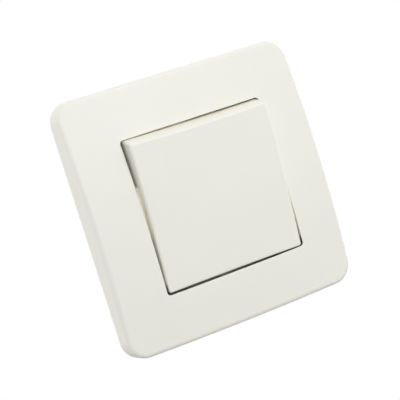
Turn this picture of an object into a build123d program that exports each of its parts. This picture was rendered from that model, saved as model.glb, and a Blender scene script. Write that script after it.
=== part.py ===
from build123d import *
import os
from math import cos, radians, sin, tan

# Two-way light switch for a round 60 mm wall box, in millimetres.
# X points right, Z up and Y into the wall. The wall's surface is the plane Y = 0, and its origin is the
# middle of the box screws. Heights called "out" run from that surface into the room, along -Y.
# Heights called "lift" run from the rocker's pivot along the rocker's own face normal.

# Cover frame
frame_side = 80.0
frame_corner_radius = 6.2
frame_apex = 11.6
frame_dome_radius = 255.0
frame_wall = 2.3
frame_rim_radius = 1.5
frame_edge_radius = 0.1
opening_width = 48.5
opening_height = 48.3
opening_corner_radius = 1.1
opening_relief = 0.8
lip_height = 1.1
rib_thickness = 1.2
rib_gap = 26.0
pry_notch_width = 8.0
pry_notch_height = 1.2

# Rocker cap, built at its resting tilt with the upper edge out
rocker_tilt = 5.0
pivot_out = 2.2
cap_lift = 10.5
cap_dome_radius = 400.0
cap_end_radius = 24.7
cap_width = 47.2
cap_draft = 1.0
cap_offset = 0.25
cap_skirt_lift = 3.0
cap_wall = 1.6
cap_edge_radius = 0.7
cap_corner_radius = 0.8
cap_skew = 0.5
cap_guide_length = 16.0
cap_guide_middle = 2.0
cap_guide_lift = 6.9
cap_guide_play = 0.2
cap_rib_thickness = 1.0
cap_rib_lift = 6.6
clip_thickness = 1.4
clip_width = 4.0
clip_spacing = 10.0
clip_barb = 0.6
clip_play = 0.15

# Rocker cradle
cradle_width = 20.0
cradle_length = 22.0
cradle_plate = 1.6
cradle_plate_lift = 3.0
cradle_cheek = 1.5
cradle_cheek_length = 7.0
pivot_pin_radius = 1.5
guide_tube_radius = 3.2
guide_tube_lift = -5.5
guide_bore_radius = 2.3
guide_roof = 1.0

# Plunger and its spring
plunger_play = 0.05
plunger_top_lift = -2.5
plunger_nose_length = 2.6
plunger_tip_radius = 1.0
plunger_gap = 0.15
spring_wire = 0.4
spring_turns = 5
spring_play = 0.2

# Support ring
ring_margin = 2.2
ring_corner_radius = 5.0
ring_thickness = 1.0
ring_play = 0.2
box_screw_spacing = 60.0
slot_width = 4.0
slot_length = 6.5

# Mechanism housing and terminal cover
housing_width = 38.0
housing_height = 44.0
housing_corner_radius = 7.0
housing_wall = 1.5
housing_depth = 18.0
flange_thickness = 1.0
flange_side_overlap = 1.5
flange_end_overlap = 2.0
front_wall = 1.4
cradle_window_height = 11.0
cradle_window_play = 0.5
bearing_thickness = 2.4
bearing_half_height = 3.2
bearing_play = 0.05
bearing_wall = 1.5
latch_thickness = 1.2
latch_width = 5.0
latch_height = 3.6
latch_barb = 0.55
latch_inner_x = 25.0
latch_z = 17.0
latch_gap = 0.2
cover_plate = 3.0
cover_rim_height = 2.0
cover_rim_play = 0.1
cover_rim_wall = 0.75
rivet_radius = 1.0
rivet_head_radius = 1.7
rivet_head = 0.6
rivet_sink = 0.5
rivet_play = 0.05
rivet_side_margin = 0.2
rivet_end_margin = 1.1

# Conductors and contacts
strip_thickness = 0.8
strip_width = 5.0
strip_front_out = -12.6
strip_bend_radius = 1.0
contact_leg_gap = 3.0
contact_radius = 1.5
contact_height = 0.8
contact_edge_radius = 0.5
contact_stem_radius = 0.8
lever_pivot_out = -9.6
lever_width = 5.2
lever_end_margin = 0.3
lever_back = -0.1
knife_rise = 0.2
notch_rise = 0.35
notch_half_width = 0.85
lever_tilt = 8.4

# Plug-in terminals: every distance is from the inner face of the strip's leg, away from the centre
traveller_wall_gap = 1.1
common_wall_gap = 1.6
inlet_radius = 1.6
inlet_funnel = 0.8
inlet_offset = 2.5
button_offset = 6.6
button_thickness = 2.6
button_width = 4.0
button_play = 0.1
button_travel = 1.4
button_shoulder = 0.4
button_shoulder_height = 1.0
clamp_thickness = 0.3
clamp_back_offset = 8.9
clamp_shoulder_offset = 6.8
clamp_front_out = -10.6
clamp_tip_out = -15.2
clamp_tip_gap = 0.15
clamp_bend_radius = 1.1
button_tip_gap = 1.7

# Spreading claws
claw_screw_radius = 1.5
claw_screw_length = 17.0
claw_screw_play = 0.2
claw_head_radius = 2.35
claw_head_height = 1.6
claw_head_slot_width = 0.7
claw_head_slot_depth = 0.8
claw_head_gap = 0.45
claw_pivot_out = -5.0
claw_pin_radius = 0.7
claw_pin_play = 0.05
claw_knuckle_radius = 1.35
claw_knuckle_gap = 0.25
claw_thickness = 1.2
claw_width = 6.8
claw_leg_gap = 0.8
claw_leg_length = 12.0
claw_bend_radius = 1.4
claw_tooth = 1.4
claw_teeth = 3
claw_slot_length = 3.7
claw_ear_thickness = 1.6
claw_ear_gap = 0.2

# Values worked out from the driving dimensions
dome_centre_y = frame_dome_radius - frame_apex
rib_inner = latch_inner_x + latch_thickness + latch_barb + latch_gap
flange_out = ring_thickness + flange_thickness
front_wall_back_out = flange_out - front_wall
cover_front_out = -housing_depth
cover_back_out = -housing_depth - cover_plate
ring_side = frame_side - 2 * (frame_wall + ring_margin)
flange_width = housing_width + 2 * flange_side_overlap
flange_height = housing_height + 2 * flange_end_overlap
rivet_x = flange_width / 2 - rivet_head_radius - rivet_side_margin
rivet_z = flange_height / 2 - rivet_head_radius - rivet_end_margin
chamber_width = housing_width - 2 * housing_wall
chamber_height = housing_height - 2 * housing_wall
chamber_corner_radius = housing_corner_radius - housing_wall
strip_back_out = strip_front_out - strip_thickness
lever_front = lever_back + strip_thickness
plunger_tip_lift = lever_pivot_out + lever_front + plunger_gap - pivot_out
plunger_radius = guide_bore_radius - plunger_play
traveller_leg_z = chamber_height / 2 - traveller_wall_gap - clamp_back_offset
common_leg_x = chamber_width / 2 - common_wall_gap - clamp_back_offset
contact_arm = traveller_leg_z - contact_leg_gap
lever_half_length = contact_arm + contact_radius + lever_end_margin
claw_pivot_x = housing_width / 2 + claw_knuckle_radius + claw_knuckle_gap
claw_screw_x = flange_width / 2 + claw_head_radius + claw_head_gap
claw_leg_x = claw_screw_x + claw_screw_radius + claw_leg_gap + claw_thickness / 2
cap_base_width = cap_width + 2 * cap_lift * tan(radians(cap_draft))
cradle_top_lift = cradle_plate_lift + cradle_plate
bearing_outer_x = cradle_width / 2 + cradle_window_play + bearing_thickness


def room_plane(out):
    """Plane parallel to the wall at a height out of it: X right, Z up, normal into the room."""
    return Plane.XZ.offset(out)


def section_plane(direction):
    """Plane through the origin, square to the wall: local x along direction, local y out of the wall."""
    normal = Vector(*direction).cross(Vector(0, -1, 0))
    return Plane(origin=(0, 0, 0), x_dir=direction, z_dir=normal)


def tilted_plane(pivot, tilt, lift=0.0):
    """Plane square to a tilted part's face normal, at a lift above its pivot."""
    normal = (0, -cos(radians(tilt)), -sin(radians(tilt)))
    return Plane(origin=(0, -pivot, 0), x_dir=(1, 0, 0), z_dir=normal).offset(lift)


def tilted_side(pivot, tilt, x=0.0):
    """Side plane of a tilted part: local x along its face normal, local y up its face."""
    normal = (0, -cos(radians(tilt)), -sin(radians(tilt)))
    return Plane(origin=(x, -pivot, 0), x_dir=normal, z_dir=(-1, 0, 0))


def rocker_plane(lift=0.0):
    return tilted_plane(pivot_out, rocker_tilt, lift)


def cap_plane(lift=0.0):
    """The cap sits in its clips slightly turned and moved aside, so its planes turn and move too."""
    level = rocker_plane(lift)
    across = level.x_dir * cos(radians(cap_skew)) - level.y_dir * sin(radians(cap_skew))
    return Plane(origin=level.origin + across * cap_offset, x_dir=across, z_dir=level.z_dir)


def cap_side(place=0.0):
    """Side plane of the cap at a place across it: local x along the face normal, local y up the face."""
    face = cap_plane()
    return Plane(origin=face.from_local_coords((place, 0, 0)), x_dir=face.z_dir, z_dir=-face.x_dir)


def lever_plane(lift=0.0):
    return tilted_plane(lever_pivot_out, -lever_tilt, lift)


def save(piece, name):
    piece.label = name
    export_step(piece, "parts/" + name + ".step")


os.makedirs("parts", exist_ok=True)

# Cover frame: the hollow behind its front, with the corner ribs and their latch barbs left standing
with BuildPart() as frame_hollow:
    with BuildSketch(room_plane(-frame_wall)):
        RectangleRounded(
            frame_side - 2 * frame_wall,
            frame_side - 2 * frame_wall,
            frame_corner_radius - frame_wall,
        )
    extrude(amount=frame_apex + frame_wall)
    with Locations((0, dome_centre_y, 0)):
        Sphere(frame_dome_radius - frame_wall, mode=Mode.INTERSECT)
    with BuildSketch(room_plane(ring_thickness)):
        Rectangle(2 * (rib_inner + rib_thickness), 2 * (rib_inner + rib_thickness))
        Rectangle(2 * rib_inner, 2 * rib_inner, mode=Mode.SUBTRACT)
        Rectangle(frame_side, rib_gap, mode=Mode.SUBTRACT)
        Rectangle(rib_gap, frame_side, mode=Mode.SUBTRACT)
    extrude(amount=frame_apex, mode=Mode.SUBTRACT)
    barb_top = flange_out + latch_height - 2 * latch_barb - latch_gap
    for side in (-1, 1):
        for level in (-latch_z, latch_z):
            with BuildSketch(Plane(origin=(0, 0, level), x_dir=(side, 0, 0), z_dir=(0, 0, -side))):
                with BuildLine():
                    Polyline(
                        (rib_inner, barb_top),
                        (rib_inner - latch_barb, barb_top - latch_barb),
                        (rib_inner - latch_barb, barb_top - 2 * latch_barb),
                        (rib_inner, barb_top - 3 * latch_barb),
                        close=True,
                    )
                make_face()
            extrude(amount=latch_width / 2, both=True, mode=Mode.SUBTRACT)

# Relief behind the opening's lip, which leaves the rocker room to swing
with BuildPart() as lip_relief:
    with BuildSketch(room_plane(-frame_wall)):
        RectangleRounded(
            opening_width + 2 * opening_relief,
            opening_height + 2 * opening_relief,
            opening_corner_radius + opening_relief,
        )
    extrude(amount=frame_apex + frame_wall)
    with Locations((0, dome_centre_y, 0)):
        Sphere(frame_dome_radius - lip_height, mode=Mode.INTERSECT)

with BuildPart() as cover_frame:
    with BuildSketch(room_plane(0)):
        RectangleRounded(frame_side, frame_side, frame_corner_radius)
    extrude(amount=frame_apex)
    with Locations((0, dome_centre_y, 0)):
        Sphere(frame_dome_radius, mode=Mode.INTERSECT)
    fillet(cover_frame.faces().filter_by(GeomType.SPHERE).edges(), frame_rim_radius)
    add(frame_hollow.part, mode=Mode.SUBTRACT)
    add(lip_relief.part, mode=Mode.SUBTRACT)
    with BuildSketch(room_plane(-frame_wall)):
        RectangleRounded(opening_width, opening_height, opening_corner_radius)
    extrude(amount=frame_apex + 2 * frame_wall, mode=Mode.SUBTRACT)
    front = cover_frame.faces().filter_by(GeomType.SPHERE).sort_by(Axis.Y)[0]
    fillet(front.inner_wires()[0].edges(), frame_edge_radius)
    with BuildSketch(room_plane(0)):
        with Locations((0, -frame_side / 2)):
            Rectangle(pry_notch_width, 2 * frame_wall + 1)
    extrude(amount=pry_notch_height, mode=Mode.SUBTRACT)
save(cover_frame.part, "cover_frame")


def cap_form(inset):
    """The cap's outer form, or the same form set in by a wall: domed face, drafted sides, and end walls
    on an arc about the pivot, so that the gap to the frame stays the same while it rocks."""
    with BuildPart() as form:
        with BuildSketch(cap_side()):
            Circle(cap_end_radius - inset)
            with Locations((cap_skirt_lift + cap_lift / 2, 0)):
                Rectangle(cap_lift, 2 * cap_end_radius, mode=Mode.INTERSECT)
        extrude(amount=cap_width, both=True)
        with BuildSketch(cap_plane()):
            Rectangle(cap_base_width - 2 * inset, 3 * cap_end_radius)
        extrude(amount=cap_lift + cap_wall, taper=cap_draft, mode=Mode.INTERSECT)
        with Locations(cap_plane(cap_lift - cap_dome_radius)):
            Sphere(cap_dome_radius - inset, rotation=(90, 0, 0), mode=Mode.INTERSECT)
    return form.part


# Rocker cap: hollow form, ribs across its inside and four clip legs round the cradle's plate
with BuildPart() as cap_hollow:
    add(cap_form(cap_wall))
    with BuildSketch(cap_plane(cap_rib_lift)):
        with Locations((-cap_width / 4, 0), (cap_width / 4, 0)):
            Rectangle(cap_rib_thickness, cap_width)
        with Locations((0, -cap_width / 4), (0, cap_width / 4)):
            Rectangle(cap_width, cap_rib_thickness)
    extrude(amount=cap_lift, mode=Mode.SUBTRACT)
    with BuildSketch(cap_plane(cradle_top_lift)):
        with Locations((0, -cradle_length / 3), (0, cradle_length / 3)):
            Rectangle(cradle_width - 2 * cradle_cheek, cap_rib_thickness)
    extrude(amount=cap_lift, mode=Mode.SUBTRACT)
    clip_face = cradle_length / 2 + clip_play
    with BuildSketch(cap_plane(cap_skirt_lift)):
        with GridLocations(clip_spacing, 2 * clip_face + clip_thickness, 2, 2):
            Rectangle(clip_width, clip_thickness)
    extrude(amount=cap_lift, mode=Mode.SUBTRACT)

with BuildPart() as rocker_cap:
    add(cap_form(0))
    corners = rocker_cap.edges().group_by(Axis(cap_plane().origin, cap_plane().z_dir))[1]
    fillet(corners, cap_corner_radius)
    fillet(rocker_cap.faces().filter_by(GeomType.SPHERE).edges(), cap_edge_radius)
    with BuildSketch(cap_plane(cap_skirt_lift)):
        with Locations((-cap_offset, cap_guide_middle)):
            Rectangle(opening_width - 2 * cap_guide_play, cap_guide_length)
    extrude(amount=cap_guide_lift - cap_skirt_lift)
    add(cap_hollow.part, mode=Mode.SUBTRACT)
    tip = clip_face - clip_barb
    catch_lift = cradle_plate_lift - clip_play
    foot_lift = cradle_plate_lift - cradle_plate
    for end in (-1, 1):
        for place in (-clip_spacing / 2, clip_spacing / 2):
            with BuildSketch(cap_side(place)):
                with BuildLine():
                    Polyline(
                        (cradle_top_lift, end * (clip_face + clip_thickness)),
                        (cradle_top_lift, end * clip_face),
                        (catch_lift, end * clip_face),
                        (catch_lift, end * tip),
                        (foot_lift, end * clip_face),
                        (foot_lift, end * (clip_face + clip_thickness)),
                        close=True,
                    )
                make_face()
            extrude(amount=clip_width / 2, both=True)
save(rocker_cap.part, "rocker_cap")

# Rocker cradle: plate, cheeks with pivot pins, and the guide tube of the plunger
with BuildPart() as rocker_cradle:
    with BuildSketch(rocker_plane(cradle_plate_lift)):
        Rectangle(cradle_width, cradle_length)
    extrude(amount=cradle_plate)
    with BuildSketch(rocker_plane(-pivot_pin_radius)):
        with GridLocations(cradle_width - cradle_cheek, 0, 2, 1):
            Rectangle(cradle_cheek, cradle_cheek_length)
        Rectangle(cradle_width, cradle_cheek)
    extrude(amount=pivot_pin_radius + cradle_plate_lift)
    with BuildSketch(tilted_side(pivot_out, rocker_tilt)):
        Circle(pivot_pin_radius)
    extrude(amount=bearing_outer_x - bearing_play, both=True)
    with BuildSketch(rocker_plane(guide_tube_lift)):
        Circle(guide_tube_radius)
    extrude(amount=cradle_plate_lift - guide_tube_lift)
    with BuildSketch(rocker_plane(guide_tube_lift)):
        Circle(guide_bore_radius)
    extrude(amount=cradle_top_lift - guide_roof - guide_tube_lift, mode=Mode.SUBTRACT)
save(rocker_cradle.part, "rocker_cradle")

# Plunger: turned pin with a rounded nose
with BuildPart() as plunger:
    with BuildSketch(tilted_side(pivot_out, rocker_tilt)):
        with BuildLine():
            nose_start = plunger_tip_lift + plunger_nose_length
            Polyline(
                (plunger_tip_lift, 0),
                (plunger_top_lift, 0),
                (plunger_top_lift, plunger_radius),
                (nose_start, plunger_radius),
                (plunger_tip_lift + plunger_tip_radius, plunger_tip_radius),
            )
            RadiusArc(
                (plunger_tip_lift + plunger_tip_radius, plunger_tip_radius),
                (plunger_tip_lift, 0),
                -plunger_tip_radius,
            )
        make_face()
    revolve(axis=Axis(rocker_plane().origin, rocker_plane().z_dir))
save(plunger.part, "plunger")

# Plunger spring: round wire wound between the plunger and the roof of its guide
with BuildPart() as plunger_spring:
    coil_radius = guide_bore_radius - spring_play - spring_wire / 2
    coil_bottom = plunger_top_lift + spring_wire / 2
    coil_height = cradle_top_lift - guide_roof - plunger_top_lift - spring_wire
    with BuildLine() as coil:
        Helix(
            pitch=coil_height / spring_turns,
            height=coil_height,
            radius=coil_radius,
            center=rocker_plane(coil_bottom).origin,
            direction=rocker_plane().z_dir,
        )
    with BuildSketch(Plane(origin=coil.line @ 0, z_dir=coil.line % 0)):
        Circle(spring_wire / 2 * 0.98)
    sweep(path=coil.line)
save(plunger_spring.part, "plunger_spring")

# Support ring: flat pressed steel with four slots, claw screw holes and rivet holes
with BuildPart() as support_ring:
    with BuildSketch(room_plane(0)):
        RectangleRounded(ring_side, ring_side, ring_corner_radius)
        RectangleRounded(
            housing_width + 2 * ring_play,
            housing_height + 2 * ring_play,
            housing_corner_radius + ring_play,
            mode=Mode.SUBTRACT,
        )
        with GridLocations(box_screw_spacing, 0, 2, 1):
            SlotOverall(slot_length, slot_width, mode=Mode.SUBTRACT)
        with GridLocations(0, box_screw_spacing, 1, 2):
            SlotOverall(slot_length, slot_width, rotation=90, mode=Mode.SUBTRACT)
        with GridLocations(2 * claw_screw_x, 0, 2, 1):
            Circle(claw_screw_radius + claw_screw_play, mode=Mode.SUBTRACT)
        with GridLocations(2 * rivet_x, 2 * rivet_z, 2, 2):
            Circle(rivet_radius + rivet_play, mode=Mode.SUBTRACT)
    extrude(amount=ring_thickness)
    with BuildSketch(room_plane(0)):
        with GridLocations(2 * rivet_x, 2 * rivet_z, 2, 2):
            Circle(rivet_radius + rivet_play + rivet_sink)
    extrude(amount=rivet_sink, taper=45, mode=Mode.SUBTRACT)
save(support_ring.part, "support_ring")

# Rivets that clamp the housing's flange to the support ring, sunk flush into the ring's rear face
with BuildPart() as ring_rivets:
    for level, radius, height, slope in (
        (0, rivet_radius + rivet_sink, rivet_sink, 45),
        (0, rivet_radius, flange_out, 0),
        (flange_out, rivet_head_radius, rivet_head, 0),
    ):
        with BuildSketch(room_plane(level)):
            with GridLocations(2 * rivet_x, 2 * rivet_z, 2, 2):
                Circle(radius)
        extrude(amount=height, taper=slope)
save(ring_rivets.part, "ring_rivets")

# Mechanism housing: flange on the ring, chamber open at the back, pivot bearings and frame latches
with BuildPart() as mechanism_housing:
    with BuildSketch(room_plane(-housing_depth)):
        RectangleRounded(housing_width, housing_height, housing_corner_radius)
    extrude(amount=housing_depth + ring_thickness)
    with BuildSketch(room_plane(ring_thickness)):
        RectangleRounded(flange_width, flange_height, rivet_head_radius)
        with GridLocations(0, 2 * latch_z, 1, 2):
            Rectangle(2 * (latch_inner_x + latch_thickness), latch_width)
    extrude(amount=flange_thickness)
    with BuildSketch(room_plane(-housing_depth)):
        RectangleRounded(chamber_width, chamber_height, chamber_corner_radius)
    extrude(amount=housing_depth + front_wall_back_out, mode=Mode.SUBTRACT)
    with BuildSketch(room_plane(-ring_thickness)):
        Rectangle(cradle_width + 2 * cradle_window_play, cradle_window_height)
        with GridLocations(2 * rivet_x, 2 * rivet_z, 2, 2):
            Circle(rivet_radius + rivet_play)
    extrude(amount=flange_out + ring_thickness, mode=Mode.SUBTRACT)
    bearing_bore = pivot_pin_radius + bearing_play
    bearing_top = pivot_out + bearing_bore + bearing_wall
    for side in (-1, 1):
        bearing_x = side * (bearing_outer_x - bearing_thickness / 2)
        with BuildSketch(Plane(origin=(bearing_x, 0, 0), x_dir=(0, -1, 0), z_dir=(-1, 0, 0))):
            with Locations(((bearing_top + ring_thickness) / 2, 0)):
                Rectangle(bearing_top - ring_thickness, 2 * bearing_half_height)
        extrude(amount=bearing_thickness / 2, both=True)
    with BuildSketch(Plane(origin=(0, 0, 0), x_dir=(0, -1, 0), z_dir=(-1, 0, 0))):
        with Locations((pivot_out, 0)):
            Circle(bearing_bore)
        with Locations((bearing_top, 0)):
            Rectangle(2 * (bearing_bore + bearing_wall), 2 * pivot_pin_radius - 4 * bearing_play)
    extrude(amount=bearing_outer_x, both=True, mode=Mode.SUBTRACT)
    for side in (-1, 1):
        for level in (-latch_z, latch_z):
            latch_x = latch_inner_x + latch_thickness
            latch_out = flange_out + latch_height
            with BuildSketch(Plane(origin=(0, 0, level), x_dir=(side, 0, 0), z_dir=(0, 0, -side))):
                with BuildLine():
                    Polyline(
                        (latch_inner_x, ring_thickness),
                        (latch_x, ring_thickness),
                        (latch_x, latch_out - 2 * latch_barb),
                        (latch_x + latch_barb, latch_out - latch_barb),
                        (latch_x, latch_out),
                        (latch_inner_x, latch_out),
                        close=True,
                    )
                make_face()
            extrude(amount=latch_width / 2, both=True)
    for side in (-1, 1):
        ear_half = claw_knuckle_radius + claw_thickness / 2
        ear_inner_x = (housing_width - housing_wall) / 2
        ear_width = claw_pivot_x + claw_knuckle_radius - ear_inner_x
        for end in (-1, 1):
            ear_z = end * (claw_width / 2 + claw_ear_gap + claw_ear_thickness / 2)
            with BuildSketch(Plane(origin=(0, 0, ear_z), x_dir=(side, 0, 0), z_dir=(0, 0, -side))):
                with Locations((ear_inner_x + ear_width / 2, claw_pivot_out)):
                    Rectangle(ear_width, 2 * ear_half)
                with Locations((claw_pivot_x, claw_pivot_out)):
                    Circle(claw_pin_radius, mode=Mode.SUBTRACT)
            extrude(amount=claw_ear_thickness / 2, both=True)
save(mechanism_housing.part, "mechanism_housing")

terminal_directions = {"common": (1, 0, 0), "upper": (0, 0, 1), "lower": (0, 0, -1)}
terminal_legs = {"common": common_leg_x, "upper": traveller_leg_z, "lower": traveller_leg_z}


def terminal_point(name, offset):
    """Point of a wall-parallel sketch at a distance from the strip's leg of one terminal."""
    direction = terminal_directions[name]
    reach = terminal_legs[name] + offset
    return (direction[0] * reach, direction[2] * reach)


def terminal_turn(name):
    return 0 if terminal_directions[name][0] else 90


# Terminal cover: rear plate with wire inlets, button guides, a rim inside the housing and a contact bed
with BuildPart() as terminal_cover:
    with BuildSketch(room_plane(cover_back_out)):
        RectangleRounded(housing_width, housing_height, housing_corner_radius)
    extrude(amount=cover_plate)
    with BuildSketch(room_plane(cover_front_out)):
        RectangleRounded(
            chamber_width - 2 * cover_rim_play,
            chamber_height - 2 * cover_rim_play,
            chamber_corner_radius - cover_rim_play,
        )
        RectangleRounded(
            chamber_width - 2 * (cover_rim_play + cover_rim_wall),
            chamber_height - 2 * (cover_rim_play + cover_rim_wall),
            chamber_corner_radius - cover_rim_play - cover_rim_wall,
            mode=Mode.SUBTRACT,
        )
    extrude(amount=cover_rim_height)
    with BuildSketch(room_plane(cover_front_out)):
        Rectangle(lever_width, 2 * contact_arm + strip_width)
    extrude(amount=strip_back_out - cover_front_out)
    for name in terminal_legs:
        with BuildSketch(room_plane(cover_back_out)):
            with Locations(terminal_point(name, inlet_offset)):
                Circle(inlet_radius)
            with Locations(terminal_point(name, button_offset)):
                Rectangle(
                    button_thickness + 2 * button_play,
                    button_width + 2 * button_play,
                    rotation=terminal_turn(name),
                )
        extrude(amount=cover_plate, mode=Mode.SUBTRACT)
        with BuildSketch(room_plane(cover_back_out)):
            with Locations(terminal_point(name, inlet_offset)):
                Circle(inlet_radius + inlet_funnel)
        extrude(amount=inlet_funnel, taper=45, mode=Mode.SUBTRACT)
save(terminal_cover.part, "terminal_cover")

# Brass strips of the two travellers, each from its fixed contact to its terminal
for name in ("upper", "lower"):
    with BuildPart() as strip:
        with BuildSketch(section_plane(terminal_directions[name])):
            with BuildLine():
                middle = traveller_leg_z + strip_thickness / 2
                level = strip_front_out - strip_thickness / 2
                FilletPolyline(
                    (contact_arm - strip_width / 2, level),
                    (middle, level),
                    (middle, cover_front_out),
                    radius=strip_bend_radius,
                )
            trace(line_width=strip_thickness)
        extrude(amount=strip_width / 2, both=True)
    save(strip.part, name + "_strip")

# Common bar: strip with the upright knife edge that carries the contact lever
with BuildPart() as common_bar:
    with BuildSketch(section_plane(terminal_directions["common"])):
        with BuildLine():
            middle = common_leg_x + strip_thickness / 2
            level = strip_front_out - strip_thickness / 2
            FilletPolyline(
                (-lever_width / 2, level),
                (middle, level),
                (middle, cover_front_out),
                radius=strip_bend_radius,
            )
        trace(line_width=strip_thickness)
    extrude(amount=strip_width / 2, both=True)
    with BuildSketch(Plane(origin=(0, 0, 0), x_dir=(0, -1, 0), z_dir=(-1, 0, 0))):
        with BuildLine():
            apex = lever_pivot_out + knife_rise
            Polyline(
                (strip_front_out, -strip_thickness / 2),
                (apex - strip_thickness / 2, -strip_thickness / 2),
                (apex, 0),
                (apex - strip_thickness / 2, strip_thickness / 2),
                (strip_front_out, strip_thickness / 2),
                close=True,
            )
        make_face()
    extrude(amount=lever_width / 2, both=True)
save(common_bar.part, "common_bar")

# Fixed contacts: rivet heads on the two traveller strips
with BuildPart() as fixed_contacts:
    with BuildSketch(room_plane(strip_front_out)):
        with GridLocations(0, 2 * contact_arm, 1, 2):
            Circle(contact_radius)
    extrude(amount=contact_height)
save(fixed_contacts.part, "fixed_contacts")

# Contact lever: brass changeover lever, notched behind for the knife edge
with BuildPart() as contact_lever:
    with BuildSketch(tilted_side(lever_pivot_out, -lever_tilt)):
        with Locations(((lever_back + lever_front) / 2, 0)):
            Rectangle(strip_thickness, 2 * lever_half_length)
        with BuildLine():
            Polyline(
                (lever_back, -notch_half_width),
                (notch_rise, 0),
                (lever_back, notch_half_width),
                close=True,
            )
        make_face(mode=Mode.SUBTRACT)
    extrude(amount=lever_width / 2, both=True)
    with BuildSketch(lever_plane(lever_back)):
        with GridLocations(0, 2 * contact_arm, 1, 2):
            Circle(contact_stem_radius)
    extrude(amount=strip_thickness, mode=Mode.SUBTRACT)
save(contact_lever.part, "contact_lever")

# Moving contacts: rivets through the lever's two ends
with BuildPart() as moving_contacts:
    with BuildSketch(lever_plane(lever_back - contact_height)):
        with GridLocations(0, 2 * contact_arm, 1, 2):
            Circle(contact_radius)
    extrude(amount=contact_height)
    fillet(
        moving_contacts.edges().filter_by(GeomType.CIRCLE).sort_by(
            Axis(lever_plane().origin, lever_plane().z_dir)
        )[:2],
        contact_edge_radius,
    )
    with BuildSketch(lever_plane(lever_back)):
        with GridLocations(0, 2 * contact_arm, 1, 2):
            Circle(contact_stem_radius)
    extrude(amount=strip_thickness)
save(moving_contacts.part, "moving_contacts")

# Clamp springs and release buttons of the three terminals
for name in terminal_legs:
    leg = terminal_legs[name]
    half_thickness = clamp_thickness / 2
    with BuildPart() as clamp:
        with BuildSketch(section_plane(terminal_directions[name])):
            with BuildLine():
                tip = leg + strip_thickness + clamp_tip_gap + half_thickness
                FilletPolyline(
                    (leg + clamp_back_offset, cover_front_out),
                    (leg + clamp_back_offset, clamp_front_out),
                    (leg + clamp_shoulder_offset, clamp_front_out),
                    (tip, clamp_tip_out),
                    radius=clamp_bend_radius,
                )
            trace(line_width=clamp_thickness)
        extrude(amount=button_width / 2, both=True)
    save(clamp.part, name + "_spring")

    with BuildPart() as button:
        turn = terminal_turn(name)
        button_back_out = cover_back_out - button_travel
        button_front_out = clamp_front_out - button_tip_gap
        with BuildSketch(room_plane(button_back_out)):
            with Locations(terminal_point(name, button_offset)):
                Rectangle(button_thickness, button_width, rotation=turn)
        extrude(amount=button_front_out - button_back_out)
        with BuildSketch(room_plane(cover_front_out)):
            with Locations(terminal_point(name, button_offset)):
                Rectangle(
                    button_thickness + 2 * button_shoulder,
                    button_width + 2 * button_shoulder,
                    rotation=turn,
                )
        extrude(amount=button_shoulder_height)
    save(button.part, name + "_button")

# Spreading claw of the right side, with a knuckle on its pin, a slotted arm and a toothed leg
with BuildPart() as right_claw:
    with BuildSketch(section_plane((1, 0, 0))):
        with BuildLine():
            FilletPolyline(
                (claw_pivot_x, claw_pivot_out),
                (claw_leg_x, claw_pivot_out),
                (claw_leg_x, claw_pivot_out - claw_leg_length),
                radius=claw_bend_radius,
            )
        trace(line_width=claw_thickness)
        with Locations((claw_pivot_x, claw_pivot_out)):
            Circle(claw_knuckle_radius)
            Circle(claw_pin_radius + claw_pin_play, mode=Mode.SUBTRACT)
        for tooth in range(claw_teeth):
            root = claw_pivot_out - claw_leg_length + tooth * claw_tooth
            with BuildLine():
                Polyline(
                    (claw_leg_x, root),
                    (claw_leg_x + claw_thickness / 2 + claw_tooth / 2, root + claw_tooth),
                    (claw_leg_x, root + claw_tooth),
                    close=True,
                )
            make_face()
    extrude(amount=claw_width / 2, both=True)
    with BuildSketch(room_plane(claw_pivot_out - claw_thickness)):
        with Locations((claw_screw_x, 0)):
            SlotOverall(claw_slot_length, 2 * (claw_screw_radius + claw_screw_play))
    extrude(amount=2 * claw_thickness, mode=Mode.SUBTRACT)

with BuildPart() as left_claw:
    add(mirror(right_claw.part, about=Plane.YZ, mode=Mode.PRIVATE))
save(right_claw.part, "right_claw")
save(left_claw.part, "left_claw")

# Claw pins and claw screws, one of each per side
for name, side in (("left", -1), ("right", 1)):
    with BuildPart() as claw_pin:
        pin_length = claw_width + 2 * (claw_ear_gap + claw_ear_thickness)
        with BuildSketch(section_plane((1, 0, 0))):
            with Locations((side * claw_pivot_x, claw_pivot_out)):
                Circle(claw_pin_radius)
        extrude(amount=pin_length / 2, both=True)
    save(claw_pin.part, name + "_claw_pin")

    with BuildPart() as claw_screw:
        with BuildSketch(room_plane(ring_thickness)):
            with Locations((side * claw_screw_x, 0)):
                Circle(claw_head_radius)
        extrude(amount=claw_head_height)
        with BuildSketch(room_plane(ring_thickness - claw_screw_length)):
            with Locations((side * claw_screw_x, 0)):
                Circle(claw_screw_radius)
        extrude(amount=claw_screw_length)
        with BuildSketch(room_plane(ring_thickness + claw_head_height - claw_head_slot_depth)):
            with Locations((side * claw_screw_x, 0)):
                Rectangle(2 * claw_head_radius, claw_head_slot_width)
                Rectangle(claw_head_slot_width, claw_screw_radius * 2)
        extrude(amount=claw_head_slot_depth, mode=Mode.SUBTRACT)
    save(claw_screw.part, name + "_claw_screw")
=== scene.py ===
from math import cos, pi, radians, sin

import bmesh
import bpy
from mathutils import Matrix, Vector


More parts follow.
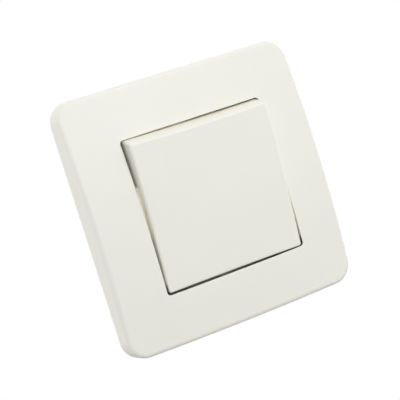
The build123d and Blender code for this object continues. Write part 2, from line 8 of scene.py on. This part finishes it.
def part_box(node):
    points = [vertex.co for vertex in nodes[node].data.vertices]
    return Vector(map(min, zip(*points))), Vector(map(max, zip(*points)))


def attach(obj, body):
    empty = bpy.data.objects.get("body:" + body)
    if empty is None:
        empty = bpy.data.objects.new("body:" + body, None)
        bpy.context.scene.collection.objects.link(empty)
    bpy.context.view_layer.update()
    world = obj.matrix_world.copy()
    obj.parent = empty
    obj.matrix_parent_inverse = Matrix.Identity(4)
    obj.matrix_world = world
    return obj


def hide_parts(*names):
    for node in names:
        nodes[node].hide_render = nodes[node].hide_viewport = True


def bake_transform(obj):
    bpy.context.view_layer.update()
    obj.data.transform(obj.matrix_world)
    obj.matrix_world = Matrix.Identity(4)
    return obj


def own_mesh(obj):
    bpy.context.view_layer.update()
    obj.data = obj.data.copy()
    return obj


# Two-way light switch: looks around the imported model, in metres. X points right, Z up and Y into the wall.

# Camera, fitted to the outline of the 80 mm cover frame in the photograph
CAMERA_PLACE = Vector((-0.1833, -0.4025, 0.0331))
CAMERA_FORWARD = Vector((0.41181, 0.90804, -0.07667))
CAMERA_UP = Vector((0.3031, -0.0567, 0.9513))
CAMERA_LENS = 129.06
CAMERA_SENSOR = 36.0
CAMERA_NEAREST = 0.01

# Studio light: an even room and soft lobes of light, each with its direction, strength and tightness
ROOM_LEVEL = 0.1
SOFT_LIGHTS = {
    "key": (Vector((0.17, -0.865, 0.47)), 3.24, 6.5),
    "ceiling": (Vector((0.0, 0.0, 1.0)), 0.4, 2.0),
    "backdrop": (Vector((0.0, 1.0, 0.0)), 0.9, 1.0),
    "left": (Vector((-0.94, 0.34, 0.0)), 2.15, 6.0),
    "right": (Vector((0.94, 0.34, 0.0)), 2.15, 6.0),
}

# Tint of the light from straight below and from straight above
LIGHT_BELOW = (1.04, 1.0, 0.88)
LIGHT_ABOVE = (0.98, 0.995, 1.06)

# Floor, far enough below the object that views from below pass over it
FLOOR_SIDE = 10.0
FLOOR_HEIGHT = -1.0
FLOOR_COLOUR = (0.5, 0.5, 0.5)
SEEN_WHITE = (1.0, 1.0, 1.0)

# Moulded plastics, each with its colour, roughness and nodes; the rocker is a shade lighter than the frame
PLASTICS = {
    "frame_cream": ((0.848, 0.840, 0.764), 0.38, ["cover_frame"]),
    "rocker_cream": ((0.860, 0.852, 0.773), 0.38, ["rocker_cap"]),
    "cradle_grey": ((0.60, 0.60, 0.58), 0.5, ["rocker_cradle"]),
    "plunger_black": ((0.02, 0.02, 0.022), 0.4, ["plunger"]),
    "housing_grey": ((0.42, 0.43, 0.42), 0.5, ["mechanism_housing"]),
    "terminal_grey": ((0.11, 0.115, 0.125), 0.5, ["terminal_cover"]),
    "button_orange": ((0.72, 0.19, 0.03), 0.45, ["common_button", "upper_button", "lower_button"]),
}
# Plastics that get painted warm light and painted shade in the gap round the rocker
PAINTED_GAP_MATERIALS = ["frame_cream", "rocker_cream"]

# Metals, each with its colour, roughness and nodes
METALS = {
    "zinc_sheet": ((0.68, 0.69, 0.70), 0.32, ["support_ring"]),
    "claw_zinc": ((0.66, 0.65, 0.60), 0.32, ["left_claw", "right_claw"]),
    "screw_zinc": ((0.70, 0.66, 0.52), 0.28, ["left_claw_screw", "right_claw_screw"]),
    "rivet_steel": ((0.66, 0.66, 0.66), 0.32, ["ring_rivets", "left_claw_pin", "right_claw_pin"]),
    "brass": ((0.80, 0.58, 0.24), 0.25, ["contact_lever", "common_bar", "upper_strip", "lower_strip"]),
    "silver": ((0.86, 0.85, 0.83), 0.22, ["moving_contacts", "fixed_contacts"]),
    "spring_steel": (
        (0.55, 0.56, 0.58),
        0.25,
        ["plunger_spring", "common_spring", "upper_spring", "lower_spring"],
    ),
}

# Moulded surface: faint flow shading in the colour, fine grain, uneven gloss, and a small round on each edge
FLOW_SCALE = 45.0
FLOW_DARKEST = 0.985
FLOW_STEPS = (0.3, 0.7)
MOULD_GRAIN = 0.00035
MOULD_BUMP = 0.35
MOULD_RELIEF = 0.000004
MOULD_GLOSS = (-0.04, 0.06)
PLASTIC_IOR = 1.5
PLASTIC_SPECULAR = 0.4
EDGE_ROUND = 0.0003
EDGE_SAMPLES = 8

# Gap round the rocker: painted warm light where the plastic is sheltered, and painted shade under the lower
# edge
GAP_PAINTED_WARM_LIGHT = (1.0, 0.955, 0.80)
GAP_PAINTED_SHADE = (0.012, 0.011, 0.007)
GAP_REACH = 0.0016
GAP_SAMPLES = 16
GAP_OPENNESS = (0.25, 0.80)
GAP_PAINTED_SHADE_HEIGHTS = (-0.0225, -0.0205)

# Metal surface: mottled plating in the colour, and stretched rolling marks in the gloss
MOTTLE_SCALE = 160.0
MOTTLE_DARKEST = 0.88
MOTTLE_STEPS = (0.35, 0.65)
ROLLING_SCALE = 900.0
ROLLING_STRETCH = (1.0, 1.0, 12.0)
ROLLING_BUMP = 0.2
ROLLING_RELIEF = 0.000003
ROLLING_GLOSS = (-0.08, 0.12)

# Thread of the two claw screws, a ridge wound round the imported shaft
THREAD_PITCH = 0.0007
THREAD_ROOT = 0.00142
THREAD_CREST = 0.00156
THREAD_HALF_WIDTH = 0.00026
THREAD_START = 0.0025
THREAD_RUN_OUT = 0.0006
THREAD_STEPS = 32
THREAD_LEAST_RIDGE = 0.05

# Clamp springs, each with the direction from the middle of the switch to its terminal
LEAF_DIRECTIONS = {
    "common": Vector((1.0, 0.0, 0.0)),
    "upper": Vector((0.0, 0.0, 1.0)),
    "lower": Vector((0.0, 0.0, -1.0)),
}
LEAF_STEPS = 24
WELD_DISTANCE = 0.000001
SHARP_ANGLE = radians(35.0)

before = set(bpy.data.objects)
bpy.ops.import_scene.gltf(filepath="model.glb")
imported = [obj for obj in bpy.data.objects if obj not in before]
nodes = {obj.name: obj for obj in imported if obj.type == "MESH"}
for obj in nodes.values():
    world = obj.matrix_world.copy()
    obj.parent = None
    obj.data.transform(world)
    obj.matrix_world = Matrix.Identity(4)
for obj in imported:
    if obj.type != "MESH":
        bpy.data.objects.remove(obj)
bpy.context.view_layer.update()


def place_camera():
    camera = bpy.data.objects.new("camera", bpy.data.cameras.new("camera"))
    bpy.context.scene.collection.objects.link(camera)
    forward = CAMERA_FORWARD.normalized()
    right = forward.cross(CAMERA_UP).normalized()
    up = right.cross(forward)
    turn = Matrix((right, up, -forward)).transposed()
    camera.matrix_world = Matrix.Translation(CAMERA_PLACE) @ turn.to_4x4()
    camera.data.sensor_width = CAMERA_SENSOR
    camera.data.lens = CAMERA_LENS
    camera.data.clip_start = CAMERA_NEAREST
    bpy.context.scene.camera = camera


def add(tree, kind, **values):
    """Add a node to a tree, with its sockets and settings given by name."""
    node = tree.nodes.new(kind)
    for key, value in values.items():
        if key in node.inputs:
            node.inputs[key].default_value = value
        else:
            setattr(node, key, value)
    return node


def calculate(tree, operation, first, second, third=None):
    """Math node on sockets and plain numbers."""
    node = add(tree, "ShaderNodeMath", operation=operation)
    for socket, value in zip(node.inputs, (first, second, third)):
        if isinstance(value, float):
            socket.default_value = value
        elif value is not None:
            tree.links.new(value, socket)
    return node.outputs["Value"]


def change_range(tree, value, old_range, new_range=(0.0, 1.0)):
    """Turn one range of values into another, and stop at its ends."""
    node = add(tree, "ShaderNodeMapRange")
    node.inputs["From Min"].default_value = old_range[0]
    node.inputs["From Max"].default_value = old_range[1]
    node.inputs["To Min"].default_value = new_range[0]
    node.inputs["To Max"].default_value = new_range[1]
    tree.links.new(value, node.inputs["Value"])
    return node.outputs["Result"]


def height_of(tree, vector):
    parts = add(tree, "ShaderNodeSeparateXYZ")
    tree.links.new(vector, parts.inputs["Vector"])
    return parts.outputs["Z"]


def mix_colours(tree, share, low, high):
    """Colour that goes from low to high as the share grows; high is a colour or a socket."""
    node = add(tree, "ShaderNodeMix", data_type="RGBA")
    tree.links.new(share, node.inputs["Factor"])
    node.inputs["A"].default_value = (*low, 1.0)
    if isinstance(high, tuple):
        node.inputs["B"].default_value = (*high, 1.0)
    else:
        tree.links.new(high, node.inputs["B"])
    return node.outputs["Result"]


def white_to_camera(tree, lit, white, output):
    """Show plain white to the camera, and the lit shader to all other rays."""
    rays = add(tree, "ShaderNodeLightPath")
    mix = add(tree, "ShaderNodeMixShader")
    out = add(tree, output)
    tree.links.new(rays.outputs["Is Camera Ray"], mix.inputs["Fac"])
    tree.links.new(lit.outputs[0], mix.inputs[1])
    tree.links.new(white.outputs[0], mix.inputs[2])
    tree.links.new(mix.outputs[0], out.inputs["Surface"])


def light_lobe(tree, direction, towards, tightness):
    """Share of a soft light that comes from a direction, 1 at its middle."""
    facing = add(tree, "ShaderNodeVectorMath", operation="DOT_PRODUCT")
    tree.links.new(direction, facing.inputs[0])
    facing.inputs[1].default_value = towards.normalized()
    front = calculate(tree, "MAXIMUM", facing.outputs["Value"], 0.0)
    return calculate(tree, "POWER", front, tightness)


def light_room():
    """World light of a soft studio, with plain white for what the camera sees behind the object."""
    world = bpy.data.worlds.new("studio")
    world.use_nodes = True
    tree = world.node_tree
    tree.nodes.clear()
    direction = add(tree, "ShaderNodeTexCoord").outputs["Generated"]
    level = add(tree, "ShaderNodeValue").outputs[0]
    level.default_value = ROOM_LEVEL
    for towards, strength, tightness in SOFT_LIGHTS.values():
        lobe = light_lobe(tree, direction, towards, tightness)
        level = calculate(tree, "MULTIPLY_ADD", lobe, strength, level)
    height = change_range(tree, height_of(tree, direction), (-1.0, 1.0))
    lit = add(tree, "ShaderNodeBackground")
    tree.links.new(mix_colours(tree, height, LIGHT_BELOW, LIGHT_ABOVE), lit.inputs["Color"])
    tree.links.new(level, lit.inputs["Strength"])
    white = add(tree, "ShaderNodeBackground", Color=(*SEEN_WHITE, 1.0), Strength=1.0)
    white_to_camera(tree, lit, white, "ShaderNodeOutputWorld")
    bpy.context.scene.world = world
    bpy.context.scene.view_settings.view_transform = "Standard"


def lay_floor():
    """Pale floor below the object, which the camera sees as plain white."""
    half = FLOOR_SIDE / 2
    corners = [(x, y, FLOOR_HEIGHT) for x, y in ((-half, -half), (half, -half), (half, half), (-half, half))]
    mesh = bpy.data.meshes.new("floor")
    mesh.from_pydata(corners, [], [(0, 1, 2, 3)])
    floor = bpy.data.objects.new("floor", mesh)
    bpy.context.scene.collection.objects.link(floor)
    material = bpy.data.materials.new("floor_white")
    material.use_nodes = True
    tree = material.node_tree
    tree.nodes.clear()
    pale = add(tree, "ShaderNodeBsdfDiffuse", Color=(*FLOOR_COLOUR, 1.0))
    white = add(tree, "ShaderNodeEmission", Color=(*SEEN_WHITE, 1.0), Strength=1.0)
    white_to_camera(tree, pale, white, "ShaderNodeOutputMaterial")
    mesh.materials.append(material)


def start_material(name):
    """New material with its tree, its shader and the place on the object."""
    material = bpy.data.materials.new(name)
    material.use_nodes = True
    tree = material.node_tree
    tree.nodes.clear()
    shader = add(tree, "ShaderNodeBsdfPrincipled")
    out = add(tree, "ShaderNodeOutputMaterial")
    tree.links.new(shader.outputs["BSDF"], out.inputs["Surface"])
    place = add(tree, "ShaderNodeTexCoord").outputs["Object"]
    return material, tree, shader, place


def noise(tree, vector, **values):
    node = add(tree, "ShaderNodeTexNoise", **values)
    tree.links.new(vector, node.inputs["Vector"])
    return node.outputs["Fac"]


def shade_colour(tree, value, colour, darkest, steps):
    """Colour that a value moves between a darker shade and itself."""
    ramp = add(tree, "ShaderNodeValToRGB")
    dark, light = ramp.color_ramp.elements
    dark.color = (*(channel * darkest for channel in colour), 1.0)
    light.color = (*colour, 1.0)
    dark.position = steps[0]
    light.position = steps[1]
    tree.links.new(value, ramp.inputs["Fac"])
    return ramp.outputs["Color"]


def vary_gloss(tree, shader, value, roughness, gloss):
    uneven = change_range(tree, value, (0.0, 1.0), (roughness + gloss[0], roughness + gloss[1]))
    tree.links.new(uneven, shader.inputs["Roughness"])


def raise_surface(tree, shader, value, strength, relief):
    """Small relief in the surface, and the node that makes it."""
    bump = add(tree, "ShaderNodeBump", Strength=strength, Distance=relief)
    tree.links.new(value, bump.inputs["Height"])
    tree.links.new(bump.outputs["Normal"], shader.inputs["Normal"])
    return bump


def paint_gap_light_and_shade(tree, place, colour):
    """Colour with painted warm light where other surfaces close in, and painted shade there on the object's
    lower part.
    """
    shelter = add(tree, "ShaderNodeAmbientOcclusion", Distance=GAP_REACH, samples=GAP_SAMPLES)
    openness = change_range(tree, shelter.outputs["AO"], GAP_OPENNESS)
    above = change_range(tree, height_of(tree, place), GAP_PAINTED_SHADE_HEIGHTS)
    painted_warm_light = mix_colours(tree, openness, GAP_PAINTED_WARM_LIGHT, colour)
    return mix_colours(tree, calculate(tree, "MAXIMUM", openness, above), GAP_PAINTED_SHADE, painted_warm_light)


def moulded_plastic(name, colour, roughness):
    """Moulded thermoplastic: flow shading in the colour, fine spark-eroded grain, uneven gloss."""
    material, tree, shader, place = start_material(name)
    flow = noise(tree, place, Scale=FLOW_SCALE, Detail=3.0, Roughness=0.5)
    surface = shade_colour(tree, flow, colour, FLOW_DARKEST, FLOW_STEPS)
    # Frame and rocker get painted warm light and painted shade in the gap round the rocker
    if name in PAINTED_GAP_MATERIALS:
        surface = paint_gap_light_and_shade(tree, place, surface)
    tree.links.new(surface, shader.inputs["Base Color"])
    pits = noise(tree, place, Scale=1.0 / MOULD_GRAIN, Detail=2.0, Roughness=0.6)
    vary_gloss(tree, shader, pits, roughness, MOULD_GLOSS)
    bump = raise_surface(tree, shader, pits, MOULD_BUMP, MOULD_RELIEF)
    edges = add(tree, "ShaderNodeBevel", Radius=EDGE_ROUND, samples=EDGE_SAMPLES)
    tree.links.new(edges.outputs["Normal"], bump.inputs["Normal"])
    shader.inputs["IOR"].default_value = PLASTIC_IOR
    shader.inputs["Specular IOR Level"].default_value = PLASTIC_SPECULAR
    return material


def rolled_metal(name, colour, roughness):
    """Plated or rolled metal: mottled plating in the colour, stretched rolling marks in the gloss."""
    material, tree, shader, place = start_material(name)
    mottle = noise(tree, place, Scale=MOTTLE_SCALE, Detail=4.0, Roughness=0.6)
    surface = shade_colour(tree, mottle, colour, MOTTLE_DARKEST, MOTTLE_STEPS)
    tree.links.new(surface, shader.inputs["Base Color"])
    stretch = add(tree, "ShaderNodeMapping", Scale=ROLLING_STRETCH)
    tree.links.new(place, stretch.inputs["Vector"])
    marks = noise(tree, stretch.outputs["Vector"], Scale=ROLLING_SCALE, Detail=2.0, Roughness=0.5)
    vary_gloss(tree, shader, marks, roughness, ROLLING_GLOSS)
    raise_surface(tree, shader, marks, ROLLING_BUMP, ROLLING_RELIEF)
    shader.inputs["Metallic"].default_value = 1.0
    return material


def dress_nodes(looks, make_material):
    """Give each node its material, and return the materials by name."""
    made = {}
    for name, (colour, roughness, dressed) in looks.items():
        made[name] = make_material(name, colour, roughness)
        for node in dressed:
            slots = nodes[node].data.materials
            slots.clear()
            slots.append(made[name])
    return made


def new_piece(name, shape, material):
    """Turn a bmesh into an object of its own, with smooth faces between its sharp edges."""
    mesh = bpy.data.meshes.new(name)
    shape.to_mesh(mesh)
    shape.free()
    mesh.shade_smooth()
    mesh.set_sharp_from_angle(angle=SHARP_ANGLE)
    mesh.materials.append(material)
    piece = bpy.data.objects.new(name, mesh)
    bpy.context.scene.collection.objects.link(piece)
    return piece


def shape_of(node):
    """The node's own shape, with its faces joined."""
    shape = bmesh.new()
    shape.from_mesh(nodes[node].data)
    bmesh.ops.remove_doubles(shape, verts=shape.verts, dist=WELD_DISTANCE)
    return shape


def thread_ring(shape, middle, step, steps):
    """Three corners of the thread's ridge at one step, lower near both ends."""
    angle = 2 * pi * step / THREAD_STEPS
    along = THREAD_START + THREAD_PITCH * step / THREAD_STEPS
    ridge = min(1.0, max(THREAD_LEAST_RIDGE, 2 * min(step, steps - step) / THREAD_STEPS))
    crest = THREAD_ROOT + ridge * (THREAD_CREST - THREAD_ROOT)
    corners = (
        (THREAD_ROOT, along - THREAD_HALF_WIDTH),
        (crest, along),
        (THREAD_ROOT, along + THREAD_HALF_WIDTH),
    )
    ring = []
    for radius, y in corners:
        corner = (middle.x + radius * cos(angle), y, middle.z + radius * sin(angle))
        ring.append(shape.verts.new(corner))
    return ring


def cut_thread(side, material):
    """Screw thread: one three-sided ridge wound round the shaft, running out at both ends."""
    low, high = (Vector(corner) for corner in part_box(side + "_claw_screw"))
    middle = (low + high) / 2
    length = high.y - THREAD_RUN_OUT - THREAD_START
    steps = int(length / THREAD_PITCH * THREAD_STEPS)
    shape = bmesh.new()
    rings = [thread_ring(shape, middle, step, steps) for step in range(steps + 1)]
    for ring, following in zip(rings, rings[1:]):
        for corner in range(3):
            after = (corner + 1) % 3
            shape.faces.new((ring[corner], following[corner], following[after], ring[after]))
    shape.faces.new(rings[0])
    shape.faces.new(reversed(rings[-1]))
    bmesh.ops.recalc_face_normals(shape, faces=shape.faces)
    piece = new_piece(side + "_claw_screw_thread", shape, material)
    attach(piece, side + "_tightener")


def bend_leaf(terminal, outward, material):
    """Clamp spring, sliced into bands across its length from the middle outward, as a piece of its own in
    place of the imported node.
    """
    spring = terminal + "_spring"
    shape = shape_of(spring)
    inner, outer = sorted(Vector(corner).dot(outward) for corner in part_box(spring))
    for step in range(1, LEAF_STEPS):
        cut = inner + (outer - inner) * step / LEAF_STEPS
        whole = shape.verts[:] + shape.edges[:] + shape.faces[:]
        bmesh.ops.bisect_plane(shape, geom=whole, plane_co=outward * cut, plane_no=outward)
    leaf = new_piece(terminal + "_spring_leaf", shape, material)
    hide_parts(spring)
    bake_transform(leaf)


def compress_coil(material):
    """Plunger spring as a piece of its own with its own mesh, carried with the rocker in place of the
    imported node.
    """
    shape = shape_of("plunger_spring")
    coil = new_piece("plunger_spring_coil", shape, material)
    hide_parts("plunger_spring")
    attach(coil, "rocker")
    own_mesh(coil)


place_camera()
light_room()
lay_floor()
dress_nodes(PLASTICS, moulded_plastic)
metals = dress_nodes(METALS, rolled_metal)
for side in ("left", "right"):
    cut_thread(side, metals["screw_zinc"])
compress_coil(metals["spring_steel"])
for terminal, outward in LEAF_DIRECTIONS.items():
    bend_leaf(terminal, outward, metals["spring_steel"])
